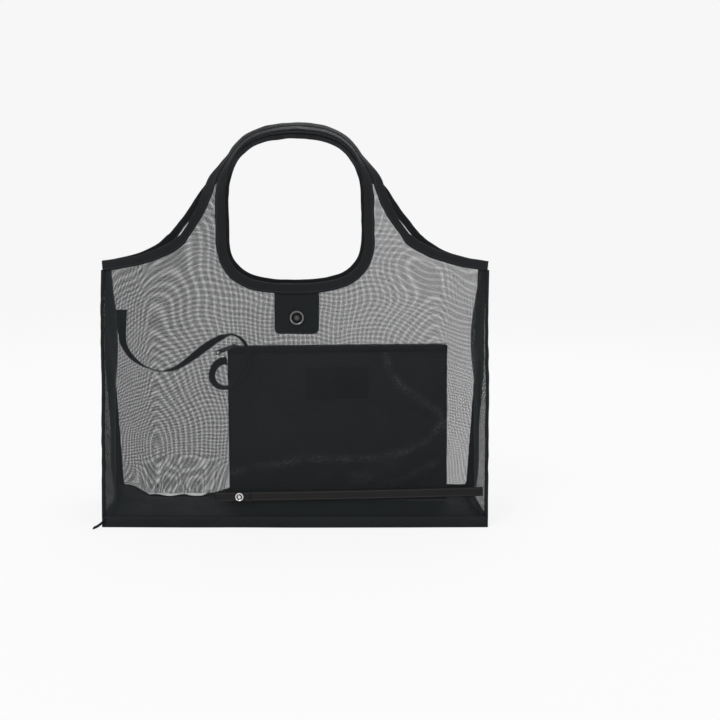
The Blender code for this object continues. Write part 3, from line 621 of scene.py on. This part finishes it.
for side, word in SIDES.items():
    cloth = mesh_front if side < 0 else mesh_back
    rows = handle_rows(side)
    bm = bmesh.new()
    layer = bm.loops.layers.uv.new("cloth")
    grid, flats = [], []
    edge_x = half_width(shoulder_height)
    for x, top in panel_columns(side):
        low_x = math.copysign(half_width(0.0013), x) if abs(x) >= edge_x - 1e-6 else x
        low = 0.0013 + 0.0065 * max(slip(x), 0) * (side > 0)
        line = [(low_x + (x - low_x) * i / 44, low + (top - low) * i / 44) for i in range(45)]
        grid.append([on_panel(side, *p) for p in line])
        flats.append(line)
    add_grid(bm, grid, flats, layer)
    add_grid(bm, [r[4] for r in rows], [r[5] for r in rows], layer)
    panel = finish_mesh(f"{word}_cloth", bm, None, cloth, crinkle=0)
    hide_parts(f"{word}_mesh_panel", f"{word}_handle_mesh")
    declare_sheet(panel)

    rim = rim_outline(side)
    whole = [Vector((-p.x, p.y)) for p in rim[:0:-1]] + rim
    frames = []
    for i, p in enumerate(whole[:-1]):
        along = whole[i + 1] - whole[max(i - 1, 0)]
        frames.append((on_panel(side, p.x, p.y), in_panel(side, p.x, p.y, (along.y, -along.x)),
                       outward(side, p.x, p.y)))
    frames[0] = (frames[0][0], in_panel(side, whole[0].x, whole[0].y, (-1, 0)), frames[0][2])
    frames += [(near, turned, facing) for near, far, turned, facing, _, _ in rows[:-1]]
    opening = band(f"{word}_opening_tape", frames, tape_ring(tape_width, 0.0024), tape_black,
                   closed=True)
    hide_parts(f"{word}_rim_tape", f"{word}_handle_inner_tape")

    shoulder = shoulder_outline(side)[:-1]
    half = []
    for i, p in enumerate(shoulder):
        along = shoulder[min(i + 1, len(shoulder) - 1)] - shoulder[max(i - 1, 0)]
        half.append((on_panel(side, p.x, p.y), in_panel(side, p.x, p.y, (-along.y, along.x)),
                     outward(side, p.x, p.y)))
    frames = [tuple(mirrored(v) for v in f) for f in half]
    frames += [(far, -turned, facing) for near, far, turned, facing, _, _ in rows[::-1]]
    frames += half[::-1]
    outer = band(f"{word}_shoulder_tape", frames, tape_ring(tape_width, 0.0024), tape_black)
    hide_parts(f"{word}_left_shoulder_tape", f"{word}_right_shoulder_tape",
                f"{word}_handle_outer_tape")
    for piece in (panel, opening, outer):
        y = panel_y(side, 0, split)
        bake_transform(piece)

    # Upright corner tapes
    for hand, hand_word in ((-1, "left"), (1, "right")):
        leg = 0.003 if side < 0 else 0.0085
        bm = bmesh.new()
        layer = bm.loops.layers.uv.new("cloth")
        loops, places = [], []
        for i in range(41):
            z = 0.0100 + (0.2890 - 0.0100) * i / 40
            x = half_width(z)
            near = [on_panel(side, x - leg, z, out) for out in (0.0004, 0.0014)]
            edge = [abs(on_panel(side, x, z, out).y) for out in (0.0004, 0.0014)]
            back = abs(panel_y(side, x, z)) - leg
            ring = [near[0], (x + 0.0003, side * edge[0], z), (x + 0.0003, side * back, z),
                    (x + 0.0013, side * back, z), (x + 0.0014, side * (edge[1] - 0.0012), z),
                    (x + 0.0011, side * (edge[1] - 0.0003), z), (x + 0.0003, side * edge[1], z),
                    near[1]]
            loops.append([bm.verts.new(Vector((hand * p[0], p[1], p[2]))) for p in ring])
            places.append(z)
        across = (0.0095, 0, 0.0095, 0.0095, 0.001, 0, 0.001, 0.0095)
        for i in range(40):
            for j in range(8):
                m = (j + 1) % 8
                face = bm.faces.new((loops[i][j], loops[i][m], loops[i + 1][m], loops[i + 1][j]))
                for loop, (a, b) in zip(face.loops, ((i, j), (i, m), (i + 1, m), (i + 1, j))):
                    loop[layer].uv = (places[a], across[b])
        for end in (loops[0], loops[-1]):
            bm.faces.new(end)
        bmesh.ops.recalc_face_normals(bm, faces=bm.faces)
        seam = finish_mesh(f"{word}_{hand_word}_seam", bm, "bag", seam_black)
        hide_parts(f"{word}_{hand_word}_seam_tape")

# Gussets, folded in between the seams
for hand, word in ((-1, "left"), (1, "right")):
    bm = bmesh.new()
    layer = bm.loops.layers.uv.new("cloth")
    grid, flats = [], []
    for i in range(45):
        z = 0.0013 + (shoulder_height - 0.004 - 0.0013) * i / 44
        reach = panel_y(1, half_width(z), z) - 0.0006
        ys = [reach * (j / 8 - 1) for j in range(17)]
        grid.append([Vector((hand * half_width(z), y, z)) for y in ys])
        flats.append([(y, z) for y in ys])
    add_grid(bm, grid, flats, layer)
    gusset = finish_mesh(f"{word}_side_cloth", bm, "bag", mesh_side, crinkle=0)
    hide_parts(f"{word}_gusset")
    declare_sheet(gusset)
    reach = panel_y(1, half_width(shoulder_height), shoulder_height) - 0.0012
    frames = [(Vector((hand * (shoulder_width / 2 - 0.0003), reach * (j / 8 - 1), shoulder_height)),
               Vector((0, 0, -1)), Vector((hand, 0, 0))) for j in range(17)]
    top = band(f"{word}_top_tape", frames, tape_ring(tape_width, 0.0022), tape_black, "bag")
    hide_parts(f"{word}_gusset_top_tape")


# The base and the tapes round its foot
bm = bmesh.new()
layer = bm.loops.layers.uv.new("cloth")
for high in (False, True):
    grid, flats = [], []
    for i in range(61):
        x = -0.2165 + 0.433 * i / 60
        row, flat = [], []
        for j in range(25):
            t = j / 24
            y = -0.0685 + 0.137 * t
            lift = 0.0085 * math.exp(-((x + 0.213) / 0.020) ** 2) * smooth((t - 0.35) / 0.6)
            lift += 0.0006 * (1 + noise.noise(Vector((x * 20, y * 25, 0.3)))) * smooth(t)
            row.append(Vector((x, y, 0.0022 + lift + (0.0009 if high else 0))))
            flat.append((x, y))
        grid.append(row)
        flats.append(flat)
    add_grid(bm, grid if high else grid[::-1], flats if high else flats[::-1], layer)
bmesh.ops.bridge_loops(bm, edges=[e for e in bm.edges if e.is_boundary])
bmesh.ops.recalc_face_normals(bm, faces=bm.faces)
base = finish_mesh("base_cloth", bm, "bag", cloth_black)
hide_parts("base_panel")

for side, word in SIDES.items():
    frames = []
    for i in range(61):
        x = 0.2190 * (i / 30 - 1)
        foot = Vector((x, side * (base_depth / 2 + 0.0014), 0.0006))
        top = Vector((x, side * (abs(panel_y(side, x, 0.0125)) + 0.0011), 0.0125))
        up = (top - foot).normalized() * (1 - 0.6 * slip(x) * (side > 0))
        level = up.normalized()
        frames.append((foot, up, Vector((0, side * level.z, -side * level.y))))
    ring = [(0, 0.0), (0.0006, 0.0004), (0.006, 0.0005), (0.0118, 0.0004), (0.0122, 0.0),
            (0.0122, -0.0006), (0.0010, -0.0010), (0.0006, -0.0110), (-0.0004, -0.0110),
            (-0.0006, -0.0010)]
    tape = band(f"{word}_foot_tape", frames, ring, seam_black, "bag")
    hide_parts(f"{word}_base_tape")
for hand, word in ((-1, "left"), (1, "right")):
    frames = [(Vector((hand * (half_width(0) + 0.0013), 0.0690 * (j / 10 - 1), 0.0006)),
               Vector((-hand * 0.01, 0, 1)).normalized(), Vector((hand, 0, 0))) for j in range(21)]
    ring = [(0, 0.0), (0.006, 0.0002), (0.0115, 0.0), (0.0115, -0.0010), (0.0010, -0.0012),
            (0.0006, -0.0110), (-0.0004, -0.0110), (-0.0006, -0.0010)]
    tape = band(f"{word}_foot_tape", frames, ring, seam_black, "bag")
    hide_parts(f"{word}_base_tape")
# The foot tape's loose end at the front left corner
start, end = Vector((-0.2165, -0.0700, 0.0075)), Vector((-0.2262, -0.0835, 0.0030))
along = (end - start).normalized()
width_way = Vector((0.45, 0.15, 1)).normalized()
facing = along.cross(width_way).normalized()
frames = []
for i in range(9):
    t = i / 8
    spot = start.lerp(end, t) + Vector((0, 0, -0.0012 * math.sin(math.pi * t)))
    frames.append((spot, width_way * (1 - 0.45 * t), facing))
band("foot_tape_tail", frames, flat_ring(0.0058, 0.0011), seam_black, "bag",
     settled=False)


# Snap tabs, with rounded corners and a row of stitches round them
def pad(name, outline, thick, place, material, body, inset=0.0006):
    """A soft-edged plate from an outline of (x, y), with its distance from the edge as a UV."""
    bm = bmesh.new()
    layer = bm.loops.layers.uv.new("cloth")
    centre = sum((Vector(p) for p in outline), Vector((0, 0))) / len(outline)
    steps = ((0.0, 0.0), (0.0, 0.7), (inset, 1.0), (0.0030, 1.0), (0.0075, 1.0))
    loops, values = [], []
    for sign in (-1, 1):
        for shrink, level in (steps if sign > 0 else steps[::-1]):
            loop = []
            for p in outline:
                p = Vector(p)
                toward = centre - p
                q = p + toward.normalized() * min(shrink, toward.length * 0.6)
                loop.append(bm.verts.new((q.x, q.y, sign * level * thick / 2)))
            loops.append(loop)
            values.append(shrink)
    run = [0.0]
    for a, b in zip(outline, outline[1:] + outline[:1]):
        run.append(run[-1] + (Vector(b) - Vector(a)).length)
    for i in range(len(loops) - 1):
        if i == len(steps) - 1:
            continue
        for j in range(len(outline)):
            m = (j + 1) % len(outline)
            face = bm.faces.new((loops[i][j], loops[i][m], loops[i + 1][m], loops[i + 1][j]))
            for loop, uv in zip(face.loops, ((run[j], values[i]), (run[j + 1], values[i]),
                                             (run[j + 1], values[i + 1]), (run[j], values[i + 1]))):
                loop[layer].uv = uv
    middle = len(steps) - 1
    for j in range(len(outline)):
        m = (j + 1) % len(outline)
        bm.faces.new((loops[middle][j], loops[middle][m], loops[middle + 1][m], loops[middle + 1][j]))
    for end in (loops[0], loops[-1]):
        face = bm.faces.new(end)
        for loop in face.loops:
            loop[layer].uv = (loop.vert.co.x, 0.0075)
    bmesh.ops.remove_doubles(bm, verts=bm.verts, dist=0.00001)
    bmesh.ops.recalc_face_normals(bm, faces=bm.faces)
    for vert in bm.verts:
        vert.co = place @ vert.co
    return finish_mesh(name, bm, body, material, settled=False)


def corner_arc(cx, cy, radius, start, end, steps=6):
    return [(cx + radius * math.cos(math.radians(start + (end - start) * i / steps)),
             cy + radius * math.sin(math.radians(start + (end - start) * i / steps)))
            for i in range(steps + 1)]


def panel_frame(side, x, z, out):
    up, normal = in_panel(side, x, z, (0, 1)), outward(side, x, z)
    made = Matrix((up.cross(normal), up, normal)).transposed().to_4x4()
    made.translation = on_panel(side, x, z, out)
    return made


for side, word in SIDES.items():
    low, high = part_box(f"{word}_snap_tab")
    half, tall, c = (high[0] - low[0]) / 2, 0.0535, 0.006
    outline = [(half, 0), (half, -tall / 2)]
    outline += corner_arc(half - c, -tall + c, c, 0, -90)
    outline += corner_arc(-half + c, -tall + c, c, -90, -180)
    outline += [(-half, -tall / 2), (-half, 0), (0, 0)]
    place = panel_frame(side, (high[0] + low[0]) / 2, 0.2722, -0.0022)
    tab = pad(f"{word}_tab", outline, 0.0016, place, tab_black, "bag")
    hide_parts(f"{word}_snap_tab")


# The strap across the front's foot
def strap_z(x):
    share = (0.2135 - x) / (0.2135 + 0.0905)
    return 0.0398 + (0.0353 - 0.0398) * share


def strap_frames(start, end, low_start, low_end, count):
    frames = []
    for i in range(count + 1):
        x = start + (end - start) * i / count
        level = smooth((0.2135 - x) / (0.2135 + 0.0627 - 0.03))
        low = low_start + (low_end - low_start) * level + 0.0005
        spot = on_panel(-1, x, strap_z(x), low)
        frames.append((spot, in_panel(-1, x, strap_z(x), (0, 1)), outward(-1, x, strap_z(x))))
    return frames


strap_right, strap_left, fold_right = 0.2135, -0.0905, -0.0505
strap_high, strap_thick = 0.010, 0.0010
layer_low = 0.00025 + 0.0003 + 0.0011 + 0.0022
fold_low = layer_low + strap_thick + 0.0003
strap = band("strap_webbing", strap_frames(strap_right, strap_left, 0.0007, layer_low, 48),
             flat_ring(strap_high, strap_thick), webbing, "strap", settled=False)
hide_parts("lower_strap")
fold = band("strap_end", strap_frames(fold_right, strap_left, fold_low, fold_low, 10),
            flat_ring(strap_high, strap_thick), webbing, "strap", settled=False)
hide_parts("lower_strap_fold")


# The leash
def route(points, spacing=0.003):
    ends = [2 * Vector(points[0]) - Vector(points[1]), 2 * Vector(points[-1]) - Vector(points[-2])]
    knots = [ends[0]] + [Vector(p) for p in points] + [ends[1]]
    fine, marks = [], []
    for k, (a, b, c, d) in enumerate(zip(knots, knots[1:], knots[2:], knots[3:])):
        for i in range(20):
            t = i / 20
            fine.append(0.5 * (2 * b + (c - a) * t + (2 * a - 5 * b + 4 * c - d) * t ** 2
                               + (3 * b - a - 3 * c + d) * t ** 3))
            marks.append(k + t)
    fine.append(knots[-2])
    marks.append(len(points) - 1)
    run = [0.0]
    for low, high in zip(fine, fine[1:]):
        run.append(run[-1] + (high - low).length)
    count = round(run[-1] / spacing)
    made, at = [], 0
    for k in range(count + 1):
        target = run[-1] * k / count
        while at < len(run) - 2 and run[at + 1] < target:
            at += 1
        share = (target - run[at]) / (run[at + 1] - run[at])
        made.append((fine[at].lerp(fine[at + 1], share), marks[at] + (marks[at + 1] - marks[at]) * share))
    return made, run[-1]


def turn_at(mark):
    keys = sorted(leash_turns)
    for low, high in zip(keys, keys[1:]):
        if mark <= high:
            t = smooth((mark - low) / (high - low))
            return math.radians(leash_turns[low] + (leash_turns[high] - leash_turns[low]) * t)
    return math.radians(leash_turns[keys[-1]])


path, leash_length = route(leash_route)
frames = []
for i, (point, mark) in enumerate(path):
    tangent = (path[min(i + 1, len(path) - 1)][0] - path[max(i - 1, 0)][0]).normalized()
    flat_way = Vector((0, 1, 0)).cross(tangent).normalized()
    deep_way = tangent.cross(flat_way).normalized()
    turn = turn_at(mark)
    across = flat_way * math.cos(turn) + deep_way * math.sin(turn)
    frames.append((point, across, tangent.cross(across).normalized()))
leash = band("leash_tape", frames, flat_ring(leash_width, leash_thickness), leash_black, None,
             settled=False)
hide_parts("leash")
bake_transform(leash)
low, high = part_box("leash_tab")
frames = []
for i in range(13):
    t = i / 12
    spot = leash_tab_ends[0].lerp(leash_tab_ends[1], t)
    frames.append((spot, Vector((1, 0, 0.15 * math.sin(3 * t))) * (1 - 0.30 * t), Vector((0, -1, 0))))
tab = band("leash_root", frames, flat_ring(0.0138, 0.0021), leash_black, "bag",
           settled=False)
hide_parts("leash_tab")


# The pouch, in its own frame
pouch_w, pouch_h = 0.268, 0.189
pouch = (Matrix.Translation((0.0535, 0.0260, 0.0043)) @ Matrix.Rotation(-math.radians(0.6), 4, "Y")
         @ Matrix.Rotation(-math.radians(3.0), 4, "X"))


def pouch_half(x, z):
    across = max(1 - (2 * x / pouch_w) ** 6, 0)
    return 0.0010 + 0.0030 * across * (1 - (1 - z / pouch_h) ** 3)


def crease(x, z):
    """Soft folds of the pouch's cloth: a few long ones and some small puckers."""
    value = 0.0
    for cx, cz, angle, length, width, height in (
            (0.082, 0.060, 58, 0.060, 0.010, 0.0016), (0.048, 0.030, 24, 0.060, 0.012, 0.0014),
            (0.030, 0.120, -58, 0.070, 0.009, 0.0012), (-0.060, 0.070, 72, 0.070, 0.014, 0.0010),
            (0.105, 0.120, 80, 0.050, 0.010, 0.0012), (-0.020, 0.045, -20, 0.060, 0.014, 0.0009)):
        c, s = math.cos(math.radians(angle)), math.sin(math.radians(angle))
        u, v = (x - cx) * c + (z - cz) * s, -(x - cx) * s + (z - cz) * c
        v += 6 * u * u
        ridge = math.exp(-(v / width) ** 2)
        hollow = math.exp(-((v - 1.6 * width) / width) ** 2)
        value += height * math.exp(-(u / length) ** 2) * (ridge - 0.6 * hollow)
    value += 0.0010 * noise.noise(Vector((x * 30, z * 22, 5.5)))
    value += 0.0004 * noise.noise(Vector((x * 90, z * 70, 1.5)))
    rim = smooth((pouch_w / 2 - abs(x)) / 0.02) * smooth(z / 0.02) * smooth((pouch_h - z) / 0.015)
    return value * rim


# Painted highlights along the pouch's creases, as lines of (x, z); they don't move with the light
PAINTED_GLINTS = (
    ((0.058, 0.182), (0.064, 0.160), (0.075, 0.143), (0.104, 0.122), (0.125, 0.108), (0.131, 0.090)),
    ((-0.130, 0.036), (-0.085, 0.045), (-0.036, 0.053), (0.010, 0.052), (0.052, 0.053),
     (0.088, 0.062), (0.112, 0.076), (0.129, 0.096)),
    ((0.020, 0.030), (0.070, 0.022), (0.124, 0.048)),
)


# Strength of the painted highlight at (x, z), from its distance to the painted lines above
def painted_glint(x, z):
    best = 0.0
    for line, strength in zip(PAINTED_GLINTS, (0.8, 1.0, 0.45)):
        for (ax, az), (bx, bz) in zip(line, line[1:]):
            t = ((x - ax) * (bx - ax) + (z - az) * (bz - az)) / ((bx - ax) ** 2 + (bz - az) ** 2)
            t = min(max(t, 0.0), 1.0)
            away = math.hypot(x - ax - (bx - ax) * t, z - az - (bz - az) * t)
            best = max(best, strength * math.exp(-(away / 0.0042) ** 2))
    return best * (0.65 + 0.7 * noise.noise(Vector((x * 60, z * 60, 9.1))))


for side, word in SIDES.items():
    bm = bmesh.new()
    layer = bm.loops.layers.uv.new("cloth")
    outer, inner, flats = [], [], []
    for i in range(121):
        x = pouch_w * (i / 120 - 0.5)
        column, under, flat = [], [], []
        for j in range(57):
            z = pouch_h * j / 56
            out = pouch_half(x, z) + 0.0008 + crease(x * (1 if side < 0 else -1), z)
            column.append(pouch @ Vector((x, side * out, z)))
            under.append(pouch @ Vector((x, side * (out - 0.0007), z)))
            flat.append((x, z))
        outer.append(column)
        inner.append(under)
        flats.append(flat)
    add_grid(bm, outer, flats, layer)
    add_grid(bm, inner, flats, layer)
    bmesh.ops.bridge_loops(bm, edges=[e for e in bm.edges if e.is_boundary])
    bmesh.ops.recalc_face_normals(bm, faces=bm.faces)
    shell = finish_mesh(f"pouch_{word}_cloth", bm, "pouch", ripstop_black, settled=False)
    # Each point's strength of the painted highlight, stored on the pouch's cloth
    painted_highlight = shell.data.attributes.new("painted_glint", "FLOAT", "POINT")
    back = pouch.inverted()
    for value, vert in zip(painted_highlight.data, shell.data.vertices):
        flat = back @ vert.co
        value.value = max(painted_glint(flat.x * -side, flat.z), 0.0)
    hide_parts(f"pouch_{word}")

    wide = 0.0010 + 0.0030 + 0.0008 + 0.0003
    tape_low = pouch_h + 0.0014
    frames = [(pouch @ Vector((pouch_w * (i / 60 - 0.5), 0, 0)),
               (pouch.to_3x3() @ Vector((0, side, 0))), (pouch.to_3x3() @ Vector((0, 0, 1))))
              for i in range(61)]
    ring = [(0.0004, tape_low), (wide - 0.0004, tape_low - 0.0001), (wide, tape_low - 0.0006),
            (wide, pouch_h - 0.006), (wide + 0.0005, pouch_h - 0.006),
            (wide + 0.0006, tape_low - 0.0002), (wide + 0.0001, tape_low + 0.0004),
            (0.0004, tape_low + 0.0005)]
    tape = band(f"zip_{word}_tape", frames, ring, zip_cloth, "pouch", settled=False)
    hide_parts(f"zip_tape_{word}")

    # Each coil half is a row of small tapered blocks as teeth
    bm = bmesh.new()
    layer = bm.loops.layers.uv.new("cloth")
    coil_low = tape_low + 0.0005 + 0.0003
    pitch = 0.0014
    count = int(2 * 0.1297 / pitch)
    for k in range(count):
        x = -0.1297 + pitch * (k + (0.5 if side < 0 else 0.0)) + 0.0003
        if x > 0.1297 - 0.0009:
            continue
        block = bmesh.ops.create_cube(bm, size=1.0)["verts"]
        for vert in block:
            top = vert.co.z > 0
            vert.co = pouch @ Vector((x + 0.0004 + vert.co.x * (0.00055 if top else 0.00085),
                                      side * (0.00115 + vert.co.y * (0.0013 if top else 0.0016)),
                                      coil_low + (vert.co.z + 0.5) * 0.0014))
    coil = finish_mesh(f"zip_{word}_coil", bm, "pouch", plastic_black, settled=False,
                       shade=False)
    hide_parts(f"zip_coil_{word}")

# The blank label patch
low_z, high_z = 0.146 - 0.019, 0.146 + 0.019
fronts = [pouch_half(0, z) + 0.0008 for z in (low_z, high_z)]
slope = math.atan2(-(fronts[1] - fronts[0]), 0.038)
c = 0.0015
outline = (corner_arc(0.037 - c, 0.019 - c, c, 0, 90, 4) + corner_arc(c - 0.037, 0.019 - c, c, 90, 180, 4)
           + corner_arc(c - 0.037, c - 0.019, c, 180, 270, 4)
           + corner_arc(0.037 - c, c - 0.019, c, 270, 360, 4))
place = pouch @ Matrix.Translation((0, -sum(fronts) / 2 - 0.0010, 0.146)) @ Matrix.Rotation(
    math.pi / 2 - slope, 4, "X")
label = pad("pouch_patch", outline, 0.0011, place, label_black, "pouch", 0.0004)
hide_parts("pouch_label")

# Metal parts keep their CAD shape
for name in ("front_snap_cap", "front_snap_socket", "back_snap_stud", "back_snap_cap",
             "zip_slider", "slider_pin", "zip_puller", "zip_stop_left", "zip_stop_right"):
    nodes[name].data.materials.clear()
    nodes[name].data.materials.append(gunmetal)
for name in ("strap_snap_cap", "strap_snap_socket", "strap_snap_stud"):
    nodes[name].data.materials.clear()
    nodes[name].data.materials.append(strap_painted_rings if name == "strap_snap_cap" else silver)
nodes["front_snap_cap"].data.materials[0] = snap_painted_rings


# Floor, world and soft studio light
floor_data = bpy.data.meshes.new("floor")
floor_data.from_pydata([(-9, -9, -0.0002), (9, -9, -0.0002), (9, 9, -0.0002), (-9, 9, -0.0002)], [],
                       [(0, 1, 2, 3)])
floor = bpy.data.objects.new("floor", floor_data)
bpy.context.collection.objects.link(floor)
paper = bpy.data.materials.new("paper")
paper.use_nodes = True
shader = paper.node_tree.nodes["Principled BSDF"]
shader.inputs["Base Color"].default_value = (0.11, 0.11, 0.11, 1)
shader.inputs["Roughness"].default_value = 1.0
shader.inputs["Specular IOR Level"].default_value = 0.0
shader.inputs["Emission Color"].default_value = (1, 1, 1, 1)
shader.inputs["Emission Strength"].default_value = 0.825
floor_data.materials.append(paper)

world = bpy.data.worlds.new("studio")
bpy.context.scene.world = world
world.use_nodes = True
world.node_tree.nodes["Background"].inputs["Color"].default_value = (0.93, 0.93, 0.93, 1)
world.node_tree.nodes["Background"].inputs["Strength"].default_value = 1.0


def area(name, place, aim, size, power):
    data = bpy.data.lights.new(name, "AREA")
    data.shape = "RECTANGLE"
    data.size, data.size_y = size
    data.energy = power
    made = bpy.data.objects.new(name, data)
    made.location = place
    made.rotation_euler = (Vector(aim) - Vector(place)).to_track_quat("-Z", "Y").to_euler()
    bpy.context.collection.objects.link(made)


area("key", (-0.9, -1.3, 2.1), (0, 0, 0.2), (0.9, 0.7), 22)
area("fill", (1.5, -1.2, 1.1), (0, 0, 0.2), (0.9, 0.9), 6)
area("back", (0.3, 1.5, 1.6), (0, 0, 0.3), (1.4, 0.8), 8)
bpy.context.scene.view_settings.view_transform = "Standard"
